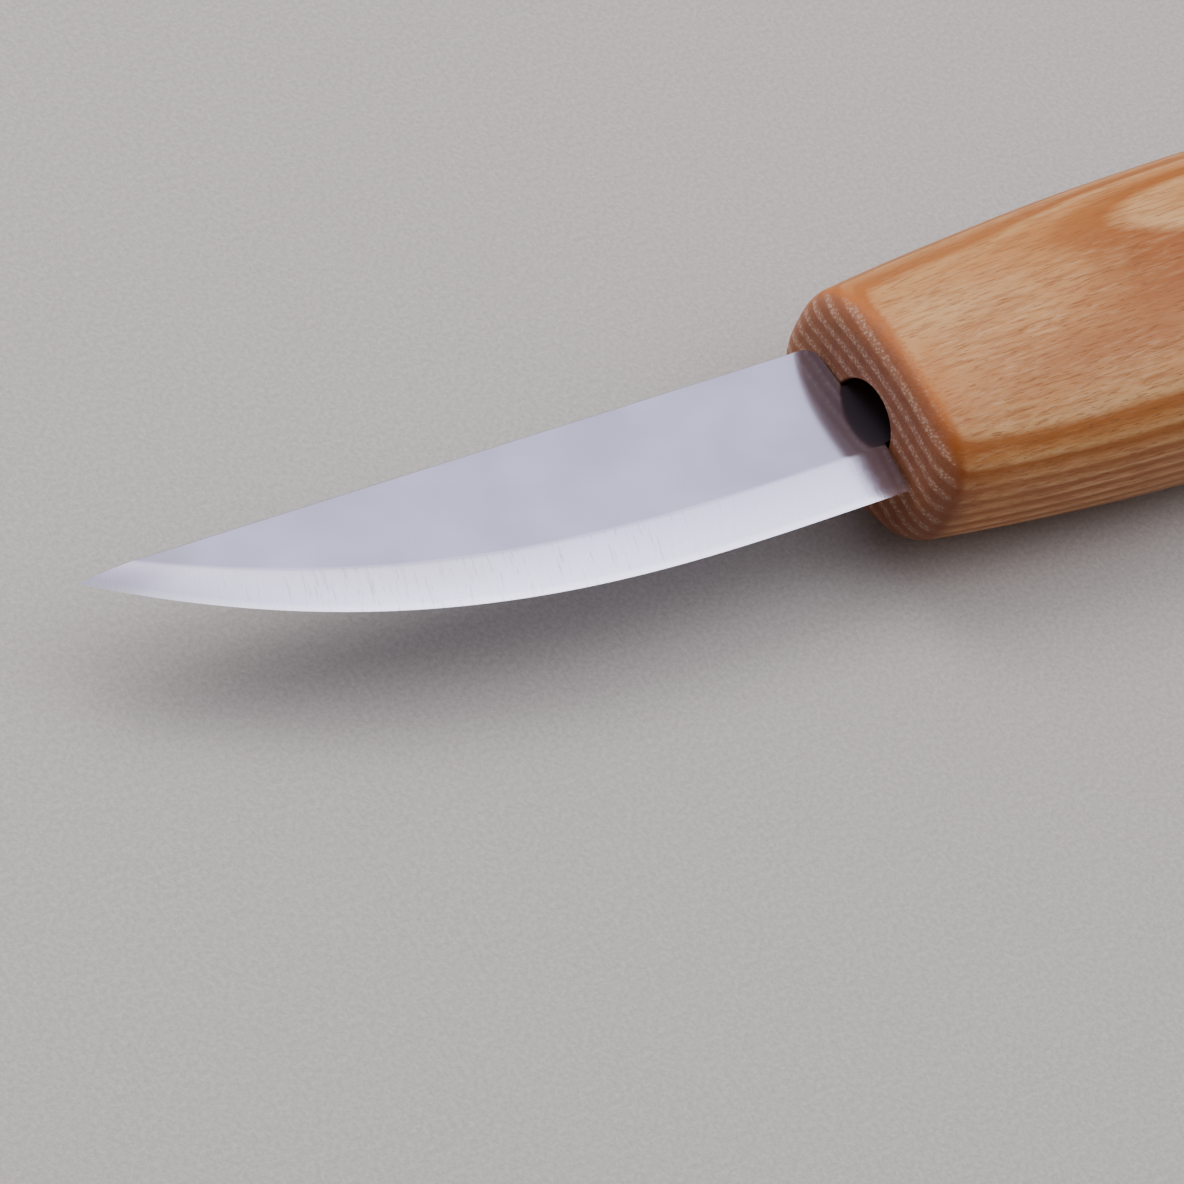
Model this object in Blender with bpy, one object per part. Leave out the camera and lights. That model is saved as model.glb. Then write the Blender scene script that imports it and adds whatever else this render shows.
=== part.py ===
"""Whittling knife: a flat ground steel blade whose tang is glued into a bored ash handle.

The knife lies on its broad side. +Z is up and square to the blade's flats, +X runs along the
handle to its butt, the cutting edge faces -Y, and the origin is on the table under the middle
of the knife's box. Lengths are in metres.
"""

import math

import bmesh
import bpy
from mathutils import Matrix

MM = 0.001

# Blade, seen from its flat side. The tip is level with the spine.
BLADE_LENGTH = 80 * MM
BLADE_HEIGHT = 17 * MM
BLADE_THICKNESS = 2.1 * MM
SPINE_ABOVE_AXIS = 8.5 * MM
STRAIGHT_EDGE = 8 * MM
EDGE_SWEEP_POWER = 2.85
BEVEL_HEIGHT = 4.7 * MM
BEVEL_TIP_SHARE = 0.6
BEVEL_TAPER_POWER = 3.2
SHOULDER_CORNER_RADIUS = 1.2 * MM
BLADE_STATIONS = 56

# Hidden stick tang and the bore that takes it.
TANG_WIDTH = 7 * MM
TANG_LENGTH = 72 * MM
TANG_END_CHAMFER = 1.5 * MM
BORE_DIAMETER = 8 * MM
BORE_DEPTH = 78 * MM
DRILL_POINT_DEPTH = 2.3 * MM
ADHESIVE_START = 12 * MM

# Handle. Each half size is given at the front, at the belly and at the butt.
HANDLE_LENGTH = 130 * MM
BELLY_FROM_FRONT = 52 * MM
SPINE_SIDE = (12.5 * MM, 15.3 * MM, 12.9 * MM)
PALM_SIDE = (12.1 * MM, 16.0 * MM, 13.3 * MM)
HALF_DEPTH = (8.8 * MM, 11.0 * MM, 9.4 * MM)
SECTION_POWER = 2.6
FLAT_HALF_DEPTH = 10.7 * MM
FRONT_ROUNDING = 2.4 * MM
BUTT_ROUNDING = 5 * MM
ROUNDING_STEPS = 6
BODY_STATIONS = 22
SECTION_POINTS = 56

GAP = 0.3 * MM  # left between pieces that touch
SMOOTH_ANGLE = math.radians(32)
CUTTER_SIDES = 40

KNIFE_LENGTH = BLADE_LENGTH + HANDLE_LENGTH
FRONT_FACE_X = BLADE_LENGTH - KNIFE_LENGTH / 2
AXIS_Y = (PALM_SIDE[1] - SPINE_SIDE[1]) / 2


# ---------------------------------------------------------------------------------------- tools
def clear_scene():
    for obj in list(bpy.data.objects):
        bpy.data.objects.remove(obj, do_unlink=True)


def material(name, color, roughness, metallic=0.0):
    mat = bpy.data.materials.new(name)
    mat.use_nodes = True
    shader = mat.node_tree.nodes["Principled BSDF"]
    shader.inputs["Base Color"].default_value = (*color, 1)
    shader.inputs["Roughness"].default_value = roughness
    shader.inputs["Metallic"].default_value = metallic
    mat.diffuse_color = (*color, 1)
    return mat


def object_from(name, bm, mat=None):
    """A smooth shaded object with sharp edges kept, whose faces point out."""
    bmesh.ops.recalc_face_normals(bm, faces=bm.faces)
    mesh = bpy.data.meshes.new(name)
    bm.to_mesh(mesh)
    bm.free()
    mesh.shade_smooth()
    mesh.set_sharp_from_angle(angle=SMOOTH_ANGLE)
    if mat:
        mesh.materials.append(mat)
    obj = bpy.data.objects.new(name, mesh)
    bpy.context.scene.collection.objects.link(obj)
    return obj


def as_cutter(obj):
    obj.hide_render = True
    obj.display_type = "WIRE"
    return obj


def cut(target, cutter):
    modifier = target.modifiers.new(cutter.name, "BOOLEAN")
    modifier.operation = "DIFFERENCE"
    modifier.object = cutter


def rod(bm, radius, start, end):
    """A round rod along X."""
    along_x = Matrix.Rotation(math.pi / 2, 4, "Y")
    bmesh.ops.create_cone(
        bm,
        cap_ends=True,
        segments=CUTTER_SIDES,
        radius1=radius,
        radius2=radius,
        depth=end - start,
        matrix=Matrix.Translation(((start + end) / 2, 0, 0)) @ along_x,
    )


# ---------------------------------------------------------------------------------------- blade
def sweep(x):
    """0 along the straight edge at the heel, growing to 1 at the tip."""
    return max(0.0, (-x - STRAIGHT_EDGE) / (BLADE_LENGTH - STRAIGHT_EDGE))


def edge_y(x):
    return SPINE_ABOVE_AXIS - BLADE_HEIGHT * (1 - sweep(x) ** EDGE_SWEEP_POWER)


def bevel_height(x):
    """Height of the ground bevel, which narrows towards the tip."""
    return BEVEL_HEIGHT * (1 - (1 - BEVEL_TIP_SHARE) * sweep(x) ** BEVEL_TAPER_POWER)


def grind_y(x):
    return edge_y(x) + bevel_height(x)


def runout_x():
    """Where the grind line meets the spine, by bisection."""
    low, high = -BLADE_LENGTH, -STRAIGHT_EDGE
    for _ in range(50):
        middle = (low + high) / 2
        if grind_y(middle) > SPINE_ABOVE_AXIS:
            low = middle
        else:
            high = middle
    return high


def spine_corner():
    """The rounded rear corner of the spine, from the spine down to the shoulder."""
    radius = SHOULDER_CORNER_RADIUS
    steps = 5
    points = []
    for step in range(steps + 1):
        angle = math.pi / 2 * (1 - step / steps)
        x = -GAP - radius + radius * math.cos(angle)
        y = SPINE_ABOVE_AXIS - radius + radius * math.sin(angle)
        points.append((x, y))
    return points


def tang_outline():
    """The tang's outline, from the upper shoulder round its end to the lower shoulder."""
    half = TANG_WIDTH / 2
    chamfer = TANG_END_CHAMFER
    upper = [(-GAP, half), (TANG_LENGTH - chamfer, half), (TANG_LENGTH, half - chamfer)]
    lower = [(x, -y) for x, y in reversed(upper)]
    return upper + lower


def make_blade(mat):
    """One flat bar, tang included, with a bevel ground on each side down to the edge."""
    bm = bmesh.new()
    half = BLADE_THICKNESS / 2
    runout = runout_x()
    heel = -GAP

    def pair(x, y, z):
        return bm.verts.new((x, y, z)), bm.verts.new((x, y, -z))

    ground = []
    for step in range(BLADE_STATIONS + 1):
        x = heel + (runout - heel) * step / BLADE_STATIONS
        ground.append((pair(x, grind_y(x), half), bm.verts.new((x, edge_y(x), 0))))
    bar = [pair(x, y, half) for x, y in spine_corner() + tang_outline()]

    # The flats, each one face from the grind line to the spine and back along the tang.
    loop = [rim for rim, _ in ground] + bar
    bm.faces.new([top for top, _ in loop])
    bm.faces.new([bottom for _, bottom in reversed(loop)])

    # The spine, the shoulders and the tang's sides.
    walls = [ground[-1][0]] + bar + [ground[0][0]]
    for (top, bottom), (next_top, next_bottom) in zip(walls, walls[1:]):
        bm.faces.new((top, bottom, next_bottom, next_top))
    bm.faces.new((ground[0][0][0], ground[0][0][1], ground[0][1]))

    # The bevels: beside the flats, then up to a spine that thins to the point.
    tip_steps = 6
    for step in range(1, tip_steps):
        x = runout + (-BLADE_LENGTH - runout) * step / tip_steps
        share = (SPINE_ABOVE_AXIS - edge_y(x)) / bevel_height(x)
        ground.append((pair(x, SPINE_ABOVE_AXIS, half * share), bm.verts.new((x, edge_y(x), 0))))
    for (near, near_edge), (far, far_edge) in zip(ground, ground[1:]):
        bm.faces.new((near[0], far[0], far_edge, near_edge))
        bm.faces.new((near[1], near_edge, far_edge, far[1]))
    for (near, _), (far, _) in zip(ground[BLADE_STATIONS:], ground[BLADE_STATIONS + 1 :]):
        bm.faces.new((near[0], near[1], far[1], far[0]))
    tip = bm.verts.new((-BLADE_LENGTH, SPINE_ABOVE_AXIS, 0))
    (top, bottom), edge = ground[-1]
    bm.faces.new((top, tip, edge))
    bm.faces.new((bottom, edge, tip))
    bm.faces.new((top, bottom, tip))
    return object_from("blade", bm, mat)


# --------------------------------------------------------------------------------------- handle
def barrel(sizes, x):
    """A half size along the handle: two parabolas that meet level at the belly."""
    front, belly, butt = sizes
    if x < BELLY_FROM_FRONT:
        return belly - (belly - front) * (1 - x / BELLY_FROM_FRONT) ** 2
    behind = (x - BELLY_FROM_FRONT) / (HANDLE_LENGTH - BELLY_FROM_FRONT)
    return belly - (belly - butt) * behind**2


def handle_stations():
    """(x, inset) along the handle, with a quarter round at each end."""
    stations = []
    for step in range(ROUNDING_STEPS + 1):
        angle = math.pi / 2 * step / ROUNDING_STEPS
        x, inset = 1 - math.cos(angle), 1 - math.sin(angle)
        stations.append((FRONT_ROUNDING * x, FRONT_ROUNDING * inset))
        stations.append((HANDLE_LENGTH - BUTT_ROUNDING * x, BUTT_ROUNDING * inset))
    body = HANDLE_LENGTH - FRONT_ROUNDING - BUTT_ROUNDING
    for step in range(1, BODY_STATIONS):
        stations.append((FRONT_ROUNDING + body * step / BODY_STATIONS, 0.0))
    return sorted(stations)


def handle_section(x, inset):
    """An oval with flattened sides, fuller on the palm side than on the spine side."""
    points = []
    for step in range(SECTION_POINTS):
        angle = 2 * math.pi * step / SECTION_POINTS
        across, up = math.cos(angle), math.sin(angle)
        side = SPINE_SIDE if across > 0 else PALM_SIDE
        y = (barrel(side, x) - inset) * math.copysign(abs(across) ** (2 / SECTION_POWER), across)
        z = (barrel(HALF_DEPTH, x) - inset) * math.copysign(abs(up) ** (2 / SECTION_POWER), up)
        points.append((x, y, z))
    return points


def make_handle(mat):
    bm = bmesh.new()
    rings = []
    for x, inset in handle_stations():
        rings.append([bm.verts.new(point) for point in handle_section(x, inset)])
    for near, far in zip(rings, rings[1:]):
        for i in range(SECTION_POINTS):
            j = (i + 1) % SECTION_POINTS
            bm.faces.new((near[i], near[j], far[j], far[i]))
    bm.faces.new(rings[0])
    bm.faces.new(reversed(rings[-1]))
    for side in (1, -1):
        geometry = bm.verts[:] + bm.edges[:] + bm.faces[:]
        result = bmesh.ops.bisect_plane(
            bm,
            geom=geometry,
            dist=1e-7,
            plane_co=(0, 0, side * FLAT_HALF_DEPTH),
            plane_no=(0, 0, side),
            clear_outer=True,
        )
        rim = [item for item in result["geom_cut"] if isinstance(item, bmesh.types.BMEdge)]
        bmesh.ops.contextual_create(bm, geom=rim)
    return object_from("handle", bm, mat)


def make_bore_cutter():
    """A drilled hole: a round rod with the drill's point at its end."""
    bm = bmesh.new()
    rod(bm, BORE_DIAMETER / 2, -5 * MM, BORE_DEPTH)
    end = [vert for vert in bm.verts if vert.co.x > 0]
    tip = bm.verts.new((BORE_DEPTH + DRILL_POINT_DEPTH, 0, 0))
    cap = next(face for face in bm.faces if all(vert in end for vert in face.verts))
    rim = list(cap.edges)
    bm.faces.remove(cap)
    for edge in rim:
        bm.faces.new((*edge.verts, tip))
    return as_cutter(object_from("bore_cutter", bm))


# ------------------------------------------------------------------------------------- adhesive
def make_tang_adhesive(mat):
    """Set adhesive in the bore: a plug behind the tang with a half round arm on each side of it."""
    bm = bmesh.new()
    rod(bm, BORE_DIAMETER / 2 - GAP, ADHESIVE_START, BORE_DEPTH - GAP)
    return object_from("tang_adhesive", bm, mat)


def make_tang_slot_cutter():
    start = ADHESIVE_START - 5 * MM
    end = TANG_LENGTH + GAP
    size = (end - start, BORE_DIAMETER * 2, BLADE_THICKNESS + 2 * GAP)
    bm = bmesh.new()
    place = Matrix.Translation(((start + end) / 2, 0, 0)) @ Matrix.Diagonal((*size, 1))
    bmesh.ops.create_cube(bm, size=1, matrix=place)
    return as_cutter(object_from("tang_slot_cutter", bm))


# ----------------------------------------------------------------------------------------- knife
def main():
    clear_scene()
    steel = material("blade_steel", (0.50, 0.50, 0.56), 0.25, metallic=1.0)
    ash = material("oiled_ash", (0.56, 0.32, 0.15), 0.5)
    epoxy = material("set_adhesive", (0.30, 0.22, 0.12), 0.4)

    knife = bpy.data.objects.new("knife", None)
    knife.location = (FRONT_FACE_X, AXIS_Y, FLAT_HALF_DEPTH)
    bpy.context.scene.collection.objects.link(knife)

    blade = make_blade(steel)
    handle = make_handle(ash)
    adhesive = make_tang_adhesive(epoxy)
    bore_cutter = make_bore_cutter()
    slot_cutter = make_tang_slot_cutter()
    cut(handle, bore_cutter)
    cut(adhesive, slot_cutter)
    for piece in (blade, handle, adhesive, bore_cutter, slot_cutter):
        piece.parent = knife


main()
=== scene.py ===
import math

import bmesh
import bpy
from mathutils import Matrix, Vector, noise


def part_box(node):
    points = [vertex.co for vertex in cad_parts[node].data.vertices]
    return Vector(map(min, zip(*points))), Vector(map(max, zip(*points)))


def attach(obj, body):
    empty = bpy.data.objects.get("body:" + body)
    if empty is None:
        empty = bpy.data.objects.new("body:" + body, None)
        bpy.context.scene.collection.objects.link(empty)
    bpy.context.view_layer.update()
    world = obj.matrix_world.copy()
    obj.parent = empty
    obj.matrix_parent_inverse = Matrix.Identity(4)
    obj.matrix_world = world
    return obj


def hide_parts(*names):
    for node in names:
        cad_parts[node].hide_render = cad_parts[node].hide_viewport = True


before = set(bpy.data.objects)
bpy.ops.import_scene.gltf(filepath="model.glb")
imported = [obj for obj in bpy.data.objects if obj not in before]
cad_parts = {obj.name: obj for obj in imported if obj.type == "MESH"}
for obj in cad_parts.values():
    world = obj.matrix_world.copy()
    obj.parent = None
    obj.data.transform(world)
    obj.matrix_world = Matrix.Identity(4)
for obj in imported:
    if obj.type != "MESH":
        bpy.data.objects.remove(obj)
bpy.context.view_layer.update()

MM = 0.001

# The CAD boxes that the finer pieces are worked out from.
blade_low, blade_high = (Vector(corner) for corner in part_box("blade"))
handle_low, handle_high = (Vector(corner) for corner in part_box("handle"))
glue_low, glue_high = (Vector(corner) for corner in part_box("tang_adhesive"))

# The middle of the bore's mouth: everything below is placed from it.
MOUTH = Vector((handle_low.x, (glue_low.y + glue_high.y) / 2, (glue_low.z + glue_high.z) / 2))

# Blade. The straight part of its edge and the rear corners start from the handle.
BLADE_LENGTH = MOUTH.x - blade_low.x
SPINE = blade_high.y - MOUTH.y
BLADE_HEIGHT = blade_high.y - blade_low.y
HALF_THICKNESS = (blade_high.z - blade_low.z) / 2
TANG_LENGTH = blade_high.x - MOUTH.x
TANG_WIDTH = 7 * MM
SHOULDER_GAP = 0.3 * MM
STRAIGHT_EDGE = 8 * MM
EDGE_SWEEP_POWER = 2.85
BEVEL_HEIGHT = 4.7 * MM
BEVEL_TIP_SHARE = 0.6  # of its height at the heel
BEVEL_TAPER_POWER = 3.2
SHOULDER_CORNER_RADIUS = 1.2 * MM
BEVEL_CROWN = (1.06, 1.35)  # at the heel and at the tip, where 1 is a flat bevel
BEVEL_STEPS = (0.2, 0.35, 0.5, 0.64, 0.76, 0.86, 0.94, 1.0)  # shares of its height
HONED_HEIGHT = 0.2 * MM
HONED_HALF = 0.07 * MM  # half the thickness at the top of the honed edge
GRIND_REACH = 0.94  # the most of the section's height that the bevel takes up
SPINE_CHAMFER = 0.12 * MM
TURNOVER = Vector((-73.5, 7.8, 0)) * MM  # from the bore's mouth to where the grind meets the spine
CORNER_STEPS = 8
BLADE_STATIONS = 190
LAST_STATION = 0.1 * MM  # before the tip
TANG_OVERLAP = 4 * MM
TANG_THINNER_BY = 0.04 * MM
BLADE_SHARP_ANGLE = math.radians(20)

# Handle. Each half size is given at the front, at the belly and at the butt.
HANDLE_LENGTH = handle_high.x - handle_low.x
BELLY_FROM_FRONT = 52 * MM
SPINE_SIDE = (12.5 * MM, handle_high.y - MOUTH.y, 12.9 * MM)
PALM_SIDE = (12.1 * MM, MOUTH.y - handle_low.y, 13.3 * MM)
HALF_DEPTH = (8.8 * MM, 11.0 * MM, 9.4 * MM)
FLAT_HALF_DEPTH = (handle_high.z - handle_low.z) / 2
SECTION_POWER = 2.6  # of the superellipse
FRONT_ROUNDING = 2.4 * MM
BUTT_ROUNDING = 5 * MM
BORE_RADIUS = 4 * MM
BORE_DEPTH = 78 * MM
BROKEN_EDGE = 0.15 * MM
SANDING = 0.05 * MM
SANDING_WAVE = 14 * MM
SECTION_POINTS = 160
BORE_RINGS = 12
FACE_RINGS = 8
ROUNDING_RINGS = 16
BODY_RINGS = 100
BUTT_RINGS = 6
HANDLE_SHARP_ANGLE = math.radians(40)

# Growth rings of the ash, in millimetres
RING_PITCH = 1.6
RING_OFFSET = 38.84
RING_CENTRE = 5.0
RING_BOW = 0.0083
RING_LEAN = 0.06
TONGUE_CENTRE = 6.2
TONGUE_WIDTH = 8.0
TONGUE_START = 14
TONGUE_FULL = 48
TONGUE_DIP = 2.5

# Studio light. A power of the cosine sets how narrow each glow is.
KEY_DIRECTION = (0.45, 0.0, 0.89)
KEY_POWER = 6
KEY_STRENGTH = 3.25
KEY_COLOUR = (0.98, 0.97, 1.01)
MIDDLE_POWER = 45
MIDDLE_STRENGTH = 1.35
AMBIENT_COLOUR = (0.10, 0.068, 0.052)
FILL_DIRECTION = (-0.2, 0.87, 0.45)
FILL_POWER = 3
FILL_STRENGTH = 1.3
PANEL_PLACE = Vector((-60, 260, 400)) * MM
PANEL_SIZE = 220 * MM
PANEL_WATTS = 0.85
PANEL_COLOUR = (1.0, 0.95, 0.9)

# Camera, from the bore's mouth
CAMERA_TARGET = Vector((-36.5, -7.9, 0)) * MM
CAMERA_DISTANCE = 461 * MM
CAMERA_AZIMUTH = math.radians(-54.35)
CAMERA_ELEVATION = math.radians(47.07)
CAMERA_ROLL = math.radians(26.9)
CAMERA_LENS = 161.15
SENSOR = 36

FLOOR_HALF_SIZE = 3  # metres


# ------------------------------------------------------------------------------------- geometry
def new_object(name, bm, sharp_angle=None):
    mesh = bpy.data.meshes.new(name)
    bm.to_mesh(mesh)
    bm.free()
    mesh.shade_smooth()
    if sharp_angle:
        mesh.set_sharp_from_angle(angle=sharp_angle)
    obj = bpy.data.objects.new(name, mesh)
    bpy.context.scene.collection.objects.link(obj)
    return obj


def loft(bm, rings, close_ends=True):
    """Quads between rings of points, with the first and last ring filled."""
    loops = [[bm.verts.new(point) for point in ring] for ring in rings]
    for near, far in zip(loops, loops[1:]):
        for i in range(len(near)):
            j = (i + 1) % len(near)
            bm.faces.new((near[i], near[j], far[j], far[i]))
    if close_ends:
        bm.faces.new(loops[0])
        bm.faces.new(reversed(loops[-1]))
    return loops


def apply_modifiers(obj):
    graph = bpy.context.evaluated_depsgraph_get()
    mesh = bpy.data.meshes.new_from_object(obj.evaluated_get(graph))
    obj.modifiers.clear()
    obj.data = mesh


# ---------------------------------------------------------------------------------------- blade
def sweep(x):
    """0 along the straight edge at the heel, growing to 1 at the tip."""
    return max(0.0, (-x - STRAIGHT_EDGE) / (BLADE_LENGTH - STRAIGHT_EDGE))


def edge_y(x):
    """The height of the cutting edge, across the blade."""
    return SPINE - BLADE_HEIGHT * (1 - sweep(x) ** EDGE_SWEEP_POWER)


def bevel_height(x):
    return BEVEL_HEIGHT * (1 - (1 - BEVEL_TIP_SHARE) * sweep(x) ** BEVEL_TAPER_POWER)


def half_thickness(x, height):
    """Half the thickness at a height above the edge: the bevel is crowned, most of all near the tip."""
    share = min(1.0, height / bevel_height(x))
    heel_crown, tip_crown = BEVEL_CROWN
    crown = heel_crown + (tip_crown - heel_crown) * sweep(x) ** 2
    return HALF_THICKNESS * (1 - (1 - share) ** crown)


def spine_y(x):
    """The height of the spine, which rounds down at the blade's rear corner."""
    radius = SHOULDER_CORNER_RADIUS
    into = x + SHOULDER_GAP + radius
    if into <= 0:
        return SPINE
    return SPINE - radius + math.sqrt(max(0.0, radius**2 - into**2))


def blade_section(x):
    """Half of the blade's section, from the edge up to the spine, as (y, half thickness).

    Its small details shrink with the section near the tip, so every section has the same points.
    """
    edge = edge_y(x)
    full = spine_y(x) - edge
    grind = min(bevel_height(x), GRIND_REACH * full)
    honed = min(HONED_HEIGHT, 0.15 * grind)
    chamfer = min(SPINE_CHAMFER, 0.02 * full, 0.4 * half_thickness(x, full))
    above_grind = grind + min(HONED_HEIGHT, 0.3 * (full - grind))
    heights = [grind * share for share in BEVEL_STEPS] + [above_grind, full - chamfer]
    honed_half = max(half_thickness(x, honed), HONED_HALF * honed / HONED_HEIGHT)
    points = [(0.0, 0.0), (honed, honed_half)]
    points += [(height, half_thickness(x, height)) for height in heights]
    points.append((full, half_thickness(x, full) - chamfer))
    return [(edge + height, half) for height, half in points]


def blade_stations():
    """Stations from the heel to just before the tip, close together where the outline bends."""
    corner = []
    for i in range(CORNER_STEPS + 1):
        turn = math.pi / 2 * i / CORNER_STEPS
        corner.append(-SHOULDER_GAP - SHOULDER_CORNER_RADIUS * (1 - math.cos(turn)))
    start = corner[-1]
    last = -BLADE_LENGTH + LAST_STATION
    body = []
    for i in range(1, BLADE_STATIONS + 1):
        body.append(start + (last - start) * math.sin(math.pi / 2 * i / BLADE_STATIONS))
    return corner + body


def make_blade():
    """The ground blade: flats, soft grind lines, a honed edge and a chamfered spine, with its tang."""
    bm = bmesh.new()
    rings = []
    for x in blade_stations():
        half = blade_section(x)
        mirrored = [(y, -z) for y, z in reversed(half[1:])]
        ring = half + mirrored
        rings.append([MOUTH + Vector((x, y, z)) for y, z in ring])
    loops = loft(bm, rings, close_ends=False)
    bm.faces.new(loops[0])
    tip = bm.verts.new(MOUTH + Vector((-BLADE_LENGTH, SPINE, 0)))
    last = loops[-1]
    for i in range(len(last)):
        bm.faces.new((last[i], last[(i + 1) % len(last)], tip))
    bmesh.ops.recalc_face_normals(bm, faces=bm.faces)
    blade = new_object("ground_blade", bm)

    bm = bmesh.new()
    size = Vector((TANG_LENGTH + TANG_OVERLAP, TANG_WIDTH, 2 * HALF_THICKNESS - TANG_THINNER_BY))
    middle = MOUTH + Vector(((TANG_LENGTH - TANG_OVERLAP) / 2, 0, 0))
    place = Matrix.Translation(middle) @ Matrix.Diagonal((*size, 1))
    bmesh.ops.create_cube(bm, size=1, matrix=place)
    tang = new_object("tang_guide", bm)
    union = blade.modifiers.new("tang", "BOOLEAN")
    union.operation = "UNION"
    union.object = tang
    apply_modifiers(blade)
    bpy.data.objects.remove(tang, do_unlink=True)
    blade.data.shade_smooth()
    blade.data.set_sharp_from_angle(angle=BLADE_SHARP_ANGLE)
    return blade


# --------------------------------------------------------------------------------------- handle
def barrel(sizes, x):
    """A half size along the handle: two parabolas that meet level at the belly."""
    front, belly, butt = sizes
    if x < BELLY_FROM_FRONT:
        return belly - (belly - front) * (1 - x / BELLY_FROM_FRONT) ** 2
    behind = (x - BELLY_FROM_FRONT) / (HANDLE_LENGTH - BELLY_FROM_FRONT)
    return belly - (belly - butt) * behind**2


def ring_angles():
    return [2 * math.pi * i / SECTION_POINTS for i in range(SECTION_POINTS)]


def section_radius(x, angle, inset):
    """Distance from the handle's axis to its side, seen along the axis at that angle."""
    across, up = math.cos(angle), math.sin(angle)
    side = SPINE_SIDE if across > 0 else PALM_SIDE
    half_width = barrel(side, x) - inset
    half_depth = barrel(HALF_DEPTH, x) - inset
    power = SECTION_POWER
    return ((abs(across) / half_width) ** power + (abs(up) / half_depth) ** power) ** (-1 / power)


def handle_ring(x, inset, sanding=0.0):
    """The handle's outline at x, with the slight waves that sanding by hand leaves."""
    ring = []
    for angle in ring_angles():
        radius = section_radius(x, angle, inset)
        point = Vector((x, radius * math.cos(angle), radius * math.sin(angle)))
        wobble = noise.noise(point / SANDING_WAVE) * sanding
        point += Vector((0, math.cos(angle), math.sin(angle))) * (wobble - abs(sanding))
        point.z = max(-FLAT_HALF_DEPTH, min(FLAT_HALF_DEPTH, point.z))
        ring.append(MOUTH + point)
    return ring


def circle(x, radius):
    return [MOUTH + Vector((x, radius * math.cos(a), radius * math.sin(a))) for a in ring_angles()]


def make_handle():
    """The handle's skin in one loft: up the bore, across the front face, along the body, over the butt."""
    rings = [circle(BORE_DEPTH * (1 - i / BORE_RINGS), BORE_RADIUS) for i in range(BORE_RINGS)]
    rings.append(circle(BROKEN_EDGE, BORE_RADIUS))
    mouth = circle(0, BORE_RADIUS + BROKEN_EDGE)
    rings.append(mouth)
    rim = handle_ring(0, FRONT_ROUNDING)
    for i in range(1, FACE_RINGS):
        rings.append([start.lerp(end, i / FACE_RINGS) for start, end in zip(mouth, rim)])
    for i in range(ROUNDING_RINGS + 1):
        share = i / ROUNDING_RINGS
        angle = math.pi / 2 * share
        inset = FRONT_ROUNDING * (1 - math.sin(angle))
        rings.append(handle_ring(FRONT_ROUNDING * (1 - math.cos(angle)), inset, SANDING * share))
    body = HANDLE_LENGTH - FRONT_ROUNDING - BUTT_ROUNDING
    for i in range(1, BODY_RINGS):
        rings.append(handle_ring(FRONT_ROUNDING + body * i / BODY_RINGS, 0, SANDING))
    for i in range(ROUNDING_RINGS + 1):
        share = i / ROUNDING_RINGS
        angle = math.pi / 2 * share
        inset = BUTT_ROUNDING * (1 - math.cos(angle))
        x = HANDLE_LENGTH - BUTT_ROUNDING * (1 - math.sin(angle))
        rings.append(handle_ring(x, inset, SANDING * (1 - share)))
    rim = rings[-1]
    centre = MOUTH + Vector((HANDLE_LENGTH, 0, 0))
    for i in range(1, BUTT_RINGS):
        rings.append([point.lerp(centre, i / BUTT_RINGS) for point in rim])
    bm = bmesh.new()
    loft(bm, rings)
    bmesh.ops.recalc_face_normals(bm, faces=bm.faces)
    return new_object("ash_handle", bm, sharp_angle=HANDLE_SHARP_ANGLE)


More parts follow.
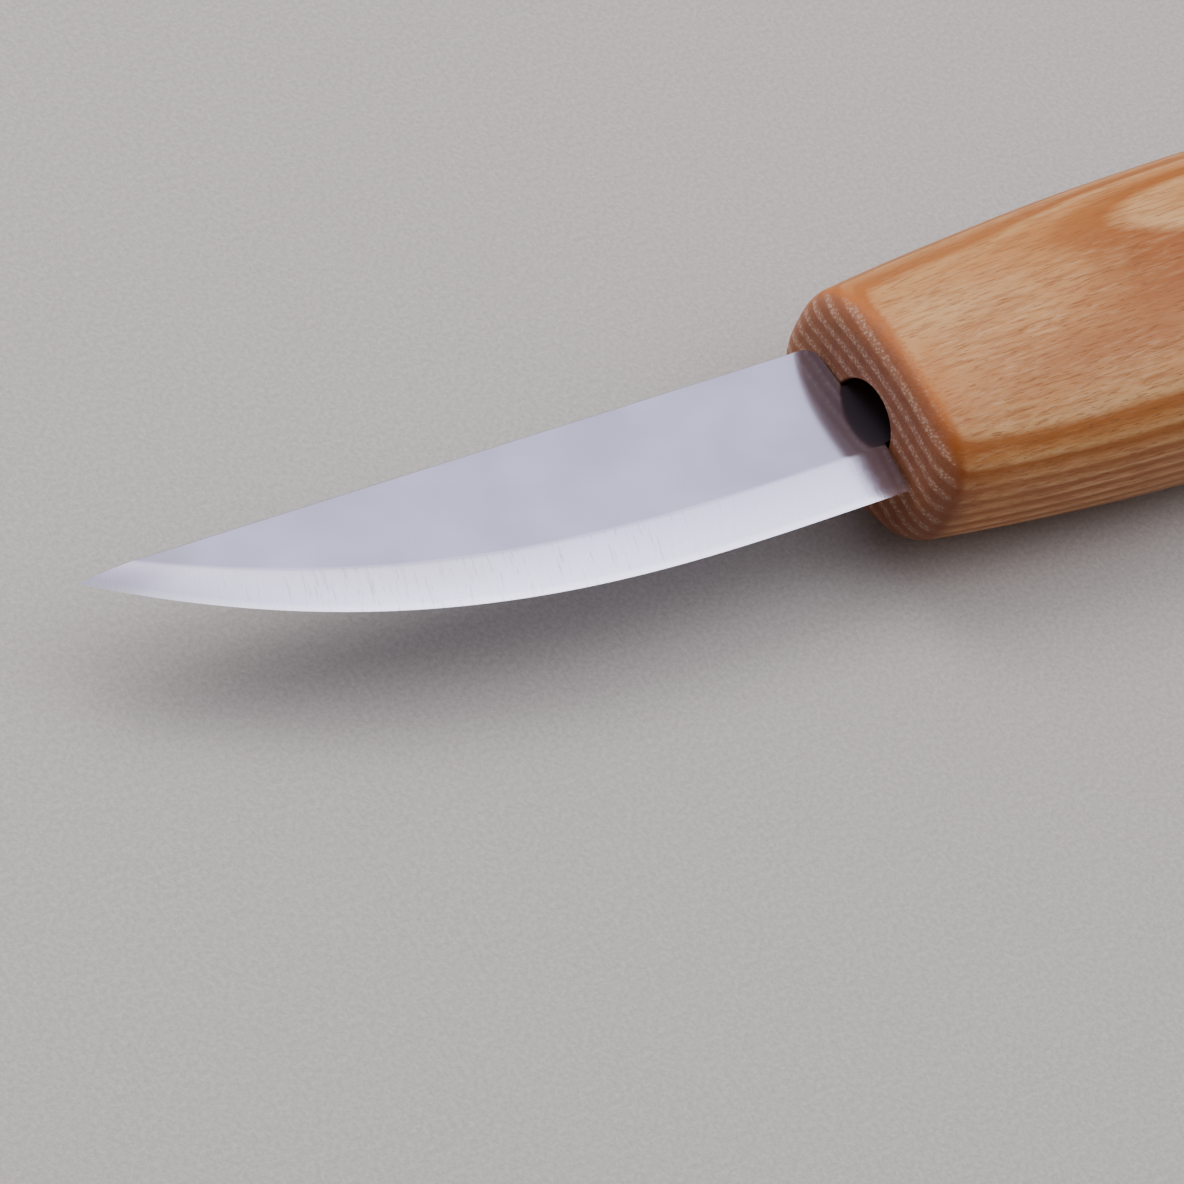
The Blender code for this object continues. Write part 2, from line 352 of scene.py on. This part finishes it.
# ------------------------------------------------------------------------------------ materials
class Graph:
    """A node tree of a material or the world, with short calls for its nodes."""

    def __init__(self, owner, shader):
        self.owner = owner
        owner.use_nodes = True
        self.tree = owner.node_tree
        self.shader = self.tree.nodes[shader]

    def put(self, socket, value):
        if isinstance(value, bpy.types.NodeSocket):
            self.tree.links.new(value, socket)
        elif socket.type == "RGBA" and len(value) == 3:
            socket.default_value = (*value, 1)
        else:
            socket.default_value = value

    def node(self, kind, inputs=(), **settings):
        made = self.tree.nodes.new("ShaderNode" + kind)
        for key, value in settings.items():
            setattr(made, key, value)
        for key, value in dict(inputs).items():
            self.put(made.inputs[key], value)
        return made

    def math(self, operation, a, b=0.0):
        return self.node("Math", {0: a, 1: b}, operation=operation).outputs[0]

    def times(self, first, *others):
        for value in others:
            first = self.math("MULTIPLY", first, value)
        return first

    def plus(self, first, *others):
        for value in others:
            first = self.math("ADD", first, value)
        return first

    def minus(self, a, b):
        return self.math("SUBTRACT", a, b)

    def squared(self, value):
        return self.times(value, value)

    def ramp(self, value, *stops):
        """A value mapped through (place, colour or grey) stops."""
        made = self.node("ValToRGB", {0: value})
        ramp = made.color_ramp
        while len(ramp.elements) < len(stops):
            ramp.elements.new(1)
        for element, (place, colour) in zip(ramp.elements, stops):
            element.position = place
            element.color = (*colour, 1) if isinstance(colour, tuple) else (colour, colour, colour, 1)
        return made.outputs[0]

    def mix(self, factor, a, b):
        made = self.node("Mix", data_type="RGBA")
        for key, value in ((0, factor), (6, a), (7, b)):
            self.put(made.inputs[key], value)
        return made.outputs[2]

    def scaled(self, vector, scale):
        return self.node("VectorMath", {0: vector, 1: scale}, operation="MULTIPLY").outputs[0]

    def noise(self, vector, scales, detail=2.0, roughness=0.5):
        """Noise with that many cells a millimetre along each axis."""
        inputs = {"Vector": self.scaled(vector, scales), "Scale": 1.0}
        inputs.update(Detail=detail, Roughness=roughness)
        return self.node("TexNoise", inputs).outputs[0]

    def smooth(self, value, low, high):
        """A smooth step from 0 at low to 1 at high, where low may be the larger number."""
        ends = (low, high, 0.0, 1.0) if low < high else (high, low, 1.0, 0.0)
        inputs = dict(zip(("From Min", "From Max", "To Min", "To Max"), ends), Value=value)
        return self.node("MapRange", inputs, interpolation_type="SMOOTHSTEP").outputs[0]

    def place_mm(self, origin):
        """Object coordinates in millimetres from a point."""
        coordinates = self.node("TexCoord").outputs["Object"]
        moved = self.node("VectorMath", {0: coordinates, 1: origin}, operation="SUBTRACT").outputs[0]
        return self.scaled(moved, (1000, 1000, 1000))

    def axes(self, vector):
        made = self.node("SeparateXYZ", {0: vector})
        return made.outputs[0], made.outputs[1], made.outputs[2]

    def set(self, **values):
        for key, value in values.items():
            self.put(self.shader.inputs[key.replace("_", " ")], value)

    def bump(self, height, distance, strength=1.0):
        inputs = {"Height": height, "Distance": distance, "Strength": strength}
        self.put(self.shader.inputs["Normal"], self.node("Bump", inputs).outputs[0])


def principled(name):
    return Graph(bpy.data.materials.new(name), "Principled BSDF")


def srgb(*levels):
    """0 to 255 display levels as linear colour."""
    return tuple(
        level / 255 / 12.92 if level <= 10 else ((level / 255 + 0.055) / 1.055) ** 2.4
        for level in levels
    )


def height_above_edge(g, x, y):
    """Millimetres up from the cutting edge, by the outline's own formula."""
    run = (BLADE_LENGTH - STRAIGHT_EDGE) / MM
    along = g.math("DIVIDE", g.plus(x, STRAIGHT_EDGE / MM), -run)
    rise = g.math("POWER", g.math("MAXIMUM", along, 0.0), EDGE_SWEEP_POWER)
    edge = g.times(g.minus(rise, 1.0), BLADE_HEIGHT / MM)
    return g.minus(g.minus(y, SPINE / MM), edge)


def belt_marks(g, place, x, bevel):
    """Marks that the belt left across the blade, leaning towards the heel, and scratches on the belly."""
    turn = {"Vector": place, "Angle": math.radians(12)}
    belt = g.node("VectorRotate", turn, rotation_type="Z_AXIS").outputs[0]
    marks = g.smooth(g.noise(belt, (8, 0.3, 0.3), 4, 0.7), 0.3, 0.72)
    belly = g.times(g.smooth(x, -74, -60), g.smooth(x, -10, -36))
    scratches = g.smooth(g.noise(belt, (3.4, 0.22, 0.22), 3, 0.75), 0.58, 0.68)
    return marks, g.times(scratches, belly, bevel)


def steel_material():
    """Satin flats with a lavender cast, and brighter bevels with grinding marks and a few scratches, with
    a painted highlight and painted reflections on the bevels.
    """
    flat_dark = (0.37, 0.37, 0.51)
    flat_light = (0.43, 0.43, 0.60)
    edge_painted_highlight = (0.72, 0.72, 0.87)
    bevel_light = (0.50, 0.49, 0.66)
    bevel_dark = (0.40, 0.39, 0.54)
    mark_grey = (0.35, 0.35, 0.43)
    scratch_grey = (0.24, 0.23, 0.26)
    tip_reflection_grey = (0.35, 0.33, 0.385)
    spine_reflection_grey = (0.26, 0.24, 0.31)

    g = principled("ground_steel")
    place = g.place_mm(MOUTH)
    x, y = g.axes(place)[:2]
    normal = g.node("NewGeometry").outputs["True Normal"]
    # The flats face straight up or down, and the bevels are tilted.
    upright = g.math("ABSOLUTE", g.axes(normal)[2])
    bevel = g.smooth(upright, 0.9992, 0.988)
    marks, scratches = belt_marks(g, place, x, bevel)
    satin = g.noise(place, (0.3, 9, 9), 3, 0.6)
    cloud = g.noise(place, (0.1, 0.14, 0.14), 2, 0.5)

    flat_colour = g.mix(g.smooth(cloud, 0.3, 0.7), flat_dark, flat_light)
    share = g.math("DIVIDE", height_above_edge(g, x, y), BEVEL_HEIGHT / MM)
    # Painted highlight and painted reflection: the bevel is brightest at the honed edge and darkens up to
    # its grind line.
    bevel_colour = g.ramp(share, (0.0, edge_painted_highlight), (0.16, bevel_light), (0.9, bevel_dark))
    bevel_colour = g.mix(g.times(marks, 0.18), bevel_colour, mark_grey)
    bevel_colour = g.mix(g.times(scratches, 0.5), bevel_colour, scratch_grey)
    # Painted reflection: towards the tip the bevel is painted a warmer, darker grey below its grind line.
    towards_tip = g.smooth(g.plus(x, g.times(cloud, 30)), -18, -34)
    tip_painted_reflection = g.times(towards_tip, g.smooth(share, 0.1, 0.7))
    bevel_colour = g.mix(g.times(tip_painted_reflection, 0.6), bevel_colour, tip_reflection_grey)
    colour = g.mix(bevel, flat_colour, bevel_colour)

    # Painted reflection: where the grind turns over to the spine near the tip, a darker purple-grey patch
    # is painted on.
    from_turnover = g.scaled(g.place_mm(MOUTH + TURNOVER), (0.42, 1, 0))
    away = g.node("VectorMath", {0: from_turnover, 1: (0, 0, 0)}, operation="DISTANCE")
    turnover_painted_reflection = g.times(g.smooth(away.outputs["Value"], 3.0, 0.4), 0.55)
    colour = g.mix(turnover_painted_reflection, colour, spine_reflection_grey)

    roughness = g.plus(g.times(satin, 0.06), g.times(bevel, 0.05), 0.09)
    g.set(Base_Color=colour, Metallic=0.94, Roughness=roughness)
    relief = g.minus(g.times(marks, bevel), g.times(scratches, 2.0))
    g.bump(relief, 0.004 * MM, 0.5)
    return g.owner


def ash_rings(g, place, x, y, z):
    """Where a point lies between two growth rings, 0 to 1; the pale, porous wood comes first."""
    bow = g.times(g.squared(g.minus(y, RING_CENTRE)), RING_BOW)
    lean = g.times(x, -RING_LEAN)
    # Behind the front face the rings follow the swell of the handle's shoulder.
    swell = g.plus(g.times(g.smooth(y, 2, 9), 0.9), 0.35)
    shoulder = g.times(g.smooth(x, 0, 3.6), swell)
    warp = g.times(g.noise(place, (0.02, 0.1, 0.1)), 0.6)
    fray = g.times(g.noise(place, (0.25, 3.0, 3.0), 4, 0.75), 0.2)
    # They dip once under the broad side, which shows there as one pale tongue.
    across = g.math("DIVIDE", g.minus(y, TONGUE_CENTRE), TONGUE_WIDTH)
    bulge = g.math("EXPONENT", g.times(g.squared(across), -1.0))
    dip = g.times(bulge, g.smooth(x, TONGUE_START, TONGUE_FULL), TONGUE_DIP)
    outward = g.plus(z, bow, lean, shoulder, warp, fray, dip, RING_OFFSET)
    return g.math("FRACT", g.math("DIVIDE", outward, RING_PITCH))


def ash_side(g, place, phase):
    """Long grain: tan wood with pale flecks, brown late wood and fine dark pores."""
    pale = srgb(212, 166, 112)
    tan = srgb(195, 138, 82)
    brown = srgb(152, 84, 24)
    fleck = srgb(216, 172, 128)
    streak = srgb(152, 88, 36)
    pore = srgb(118, 64, 24)

    early = (0.0, brown), (0.17, pale), (0.28, pale), (0.42, tan)
    late = (0.52, tan), (0.76, brown), (1.0, brown)
    colour = g.ramp(phase, *early, *late)
    even = g.smooth(g.noise(place, (0.04, 0.14, 0.14), 3, 0.5), 0.35, 0.65)
    colour = g.mix(g.times(even, 0.3), colour, tan)
    patches = g.smooth(g.noise(place, (0.07, 0.22, 0.22), 2, 0.5), 0.38, 0.6)
    flecks = g.smooth(g.noise(place, (0.26, 2.6, 2.6), 4, 0.7), 0.44, 0.7)
    in_early_wood = g.ramp(phase, (0.0, 0.5), (0.15, 1.0), (0.5, 1.0), (0.75, 0.42), (1.0, 0.42))
    flecks = g.times(flecks, g.plus(g.times(patches, 0.52), 0.2), in_early_wood)
    colour = g.mix(flecks, colour, fleck)
    streaks = g.smooth(g.noise(place, (0.13, 2.6, 2.6), 5, 0.75), 0.45, 0.66)
    colour = g.mix(g.times(streaks, 0.66), colour, streak)
    pores = g.smooth(g.noise(place, (0.4, 6.5, 6.5), 3, 0.55), 0.56, 0.68)
    return g.mix(g.times(pores, 0.5), colour, pore), pores


def ash_end(g, place, phase):
    """End grain: reddish brown, with bands of pale open pores."""
    dark = srgb(132, 75, 46)
    light = srgb(172, 106, 70)
    open_pore = srgb(209, 169, 145)

    pores = g.node("TexVoronoi", {"Vector": g.scaled(place, (0.3, 3.8, 3.8)), "Scale": 1.0})
    dots = g.smooth(pores.outputs["Distance"], 0.56, 0.26)
    band = g.ramp(phase, (0.0, 0.3), (0.08, 1.0), (0.36, 0.9), (0.54, 0.14), (0.9, 0.08), (1.0, 0.3))
    speckle = g.times(band, g.plus(g.times(dots, 0.74), 0.3))
    mottle = g.noise(place, (0.5, 0.8, 0.8), 3, 0.6)
    return g.mix(speckle, g.mix(mottle, dark, light), open_pore), speckle


def ash_material():
    """Oiled ash: growth rings stacked across the blade's flats, and a burnished front edge."""
    flank_brown = srgb(164, 98, 46)
    spine_painted_warm_light = srgb(174, 102, 28)
    burnish_orange = srgb(188, 103, 28)
    burnish_in_painted_shade = srgb(140, 68, 18)
    front_painted_shade_brown = srgb(70, 34, 16)
    bore_painted_shade_brown = srgb(116, 62, 32)

    g = principled("oiled_ash_wood")
    place = g.place_mm(MOUTH)
    x, y, z = g.axes(place)
    normal = g.node("NewGeometry").outputs["Normal"]
    phase = ash_rings(g, place, x, y, z)
    side, pores = ash_side(g, place, phase)
    flank = g.smooth(g.math("ABSOLUTE", g.axes(normal)[2]), 0.88, 0.35)
    side = g.mix(g.times(flank, 0.15), side, flank_brown)
    # Painted light: the spine side is tinted a warmer orange, standing in for warmer light falling there.
    side = g.mix(g.times(g.smooth(y, 1, 11), 0.36), side, spine_painted_warm_light)
    end, speckle = ash_end(g, place, phase)

    # Oil and handling darken the rounding behind the front face, in patches.
    patchy = g.times(g.minus(g.noise(place, (0.25, 0.45, 0.45), 4, 0.65), 0.5), 0.5)
    facing = g.plus(g.math("ABSOLUTE", g.axes(normal)[0]), patchy)
    rounding = g.times(g.smooth(facing, 0.02, 0.55), 0.6)
    rubbed = g.times(g.smooth(g.plus(g.times(patchy, 8.0), x), 7.5, 0.5), 0.32)
    # Painted shade: the burnish colour darkens towards the palm side, which lies in shadow.
    burnish_and_painted_shade = g.mix(g.smooth(y, -5, -12), burnish_orange, burnish_in_painted_shade)
    colour = g.mix(g.plus(rounding, rubbed), side, burnish_and_painted_shade)
    is_end = g.smooth(facing, 0.36, 0.84)
    colour = g.mix(is_end, colour, end)
    # Painted shade: the front darkens towards the side that lies down.
    front_painted_shade = g.times(g.smooth(g.plus(y, z), -4, -15), g.smooth(x, 5, 1))
    colour = g.mix(g.times(front_painted_shade, 0.4), colour, front_painted_shade_brown)

    # Painted shade: the bore is painted dark brown, for the shade in the deep hole.
    radius = g.math("SQRT", g.plus(g.squared(y), g.squared(z)))
    in_bore = g.math("LESS_THAN", radius, BORE_RADIUS / MM + 0.02)
    in_bore = g.times(in_bore, g.math("LESS_THAN", x, BORE_DEPTH / MM + 1))
    colour = g.mix(in_bore, colour, bore_painted_shade_brown)

    roughness = g.mix(in_bore, g.ramp(pores, (0.0, 0.46), (1.0, 0.6)), (0.95, 0.95, 0.95))
    g.set(Base_Color=colour, Roughness=roughness, Specular_IOR_Level=0.35)
    relief = g.plus(g.times(pores, -0.6), g.times(speckle, is_end))
    g.bump(relief, 0.03 * MM, 0.7)
    return g.owner


def glue_material():
    """Set glue, cloudy and a little glossy."""
    g = principled("set_glue")
    place = g.place_mm(MOUTH)
    cloud = g.noise(place, (0.8, 0.8, 0.8), 3, 0.6)
    g.set(Base_Color=g.mix(cloud, srgb(96, 72, 44), srgb(140, 112, 72)), Roughness=0.35)
    g.bump(cloud, 0.1 * MM, 0.5)
    return g.owner


def floor_material():
    """Pale, slightly warm paper with a fine tooth."""
    g = principled("studio_floor")
    place = g.place_mm((0, 0, 0))
    tooth = g.smooth(g.noise(place, (2.0, 2.0, 2.0), 4, 0.8), 0.3, 0.7)
    mottle = g.noise(place, (0.12, 0.12, 0.12), 3, 0.6)
    colour = g.mix(tooth, srgb(170, 167, 166), srgb(197, 194, 193))
    colour = g.mix(g.times(mottle, 0.3), colour, srgb(192, 189, 189))
    g.set(Base_Color=colour, Roughness=0.9, Specular_IOR_Level=0.2)
    g.bump(tooth, 0.06 * MM, 0.5)
    return g.owner


# ----------------------------------------------------------------------------------------- stage
def make_floor():
    bm = bmesh.new()
    bmesh.ops.create_grid(bm, x_segments=1, y_segments=1, size=FLOOR_HALF_SIZE)
    floor = new_object("floor", bm)
    floor.data.materials.append(floor_material())


def lobe(g, direction, toward, power, strength):
    """Light from round one direction, falling off as a power of the cosine."""
    aim = Vector(toward).normalized()
    cosine = g.node("VectorMath", {0: direction, 1: aim}, operation="DOT_PRODUCT").outputs["Value"]
    return g.times(g.math("POWER", g.math("MAXIMUM", cosine, 0.0), power), strength)


def make_lights():
    """A light tent: a glow overhead with a brighter middle, a low fill and a panel on the spine side."""
    world = bpy.data.worlds.new("studio")
    bpy.context.scene.world = world
    g = Graph(world, "Background")
    direction = g.node("TexCoord").outputs["Generated"]
    glow = lobe(g, direction, KEY_DIRECTION, KEY_POWER, KEY_STRENGTH)
    middle = lobe(g, direction, KEY_DIRECTION, MIDDLE_POWER, MIDDLE_STRENGTH)
    fill = lobe(g, direction, FILL_DIRECTION, FILL_POWER, FILL_STRENGTH)
    light = g.plus(glow, middle, fill)
    tinted = {0: light, 1: KEY_COLOUR, 2: AMBIENT_COLOUR}
    g.set(Color=g.node("VectorMath", tinted, operation="MULTIPLY_ADD").outputs[0], Strength=1.0)

    data = bpy.data.lights.new("panel", "AREA")
    data.size = PANEL_SIZE
    data.energy = PANEL_WATTS
    data.color = PANEL_COLOUR
    panel = bpy.data.objects.new("panel", data)
    aim = (-PANEL_PLACE).to_track_quat("-Z", "Y").to_matrix().to_4x4()
    panel.matrix_world = Matrix.Translation(MOUTH + PANEL_PLACE) @ aim
    bpy.context.scene.collection.objects.link(panel)


def make_camera():
    """A long lens towards the blade's middle, rolled so that the knife climbs to the right."""
    back = Vector((
        math.sin(CAMERA_AZIMUTH) * math.cos(CAMERA_ELEVATION),
        -math.cos(CAMERA_AZIMUTH) * math.cos(CAMERA_ELEVATION),
        math.sin(CAMERA_ELEVATION),
    ))
    level_right = Vector((0, 0, 1)).cross(back).normalized()
    level_up = back.cross(level_right)
    right = level_right * math.cos(CAMERA_ROLL) + level_up * math.sin(CAMERA_ROLL)
    up = back.cross(right)
    data = bpy.data.cameras.new("camera")
    data.lens = CAMERA_LENS
    data.sensor_width = SENSOR
    data.clip_start = 0.01
    camera = bpy.data.objects.new("camera", data)
    turn = Matrix((right, up, back)).transposed().to_4x4()
    camera.matrix_world = Matrix.Translation(MOUTH + CAMERA_TARGET + back * CAMERA_DISTANCE) @ turn
    bpy.context.scene.collection.objects.link(camera)
    bpy.context.scene.camera = camera


# ----------------------------------------------------------------------------------------- knife
make_camera()
make_floor()
make_lights()

blade = make_blade()
blade.data.materials.append(steel_material())
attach(blade, "root")
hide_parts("blade")

handle = make_handle()
handle.data.materials.append(ash_material())
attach(handle, "root")
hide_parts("handle")

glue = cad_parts["tang_adhesive"]
glue.data.materials.clear()
glue.data.materials.append(glue_material())
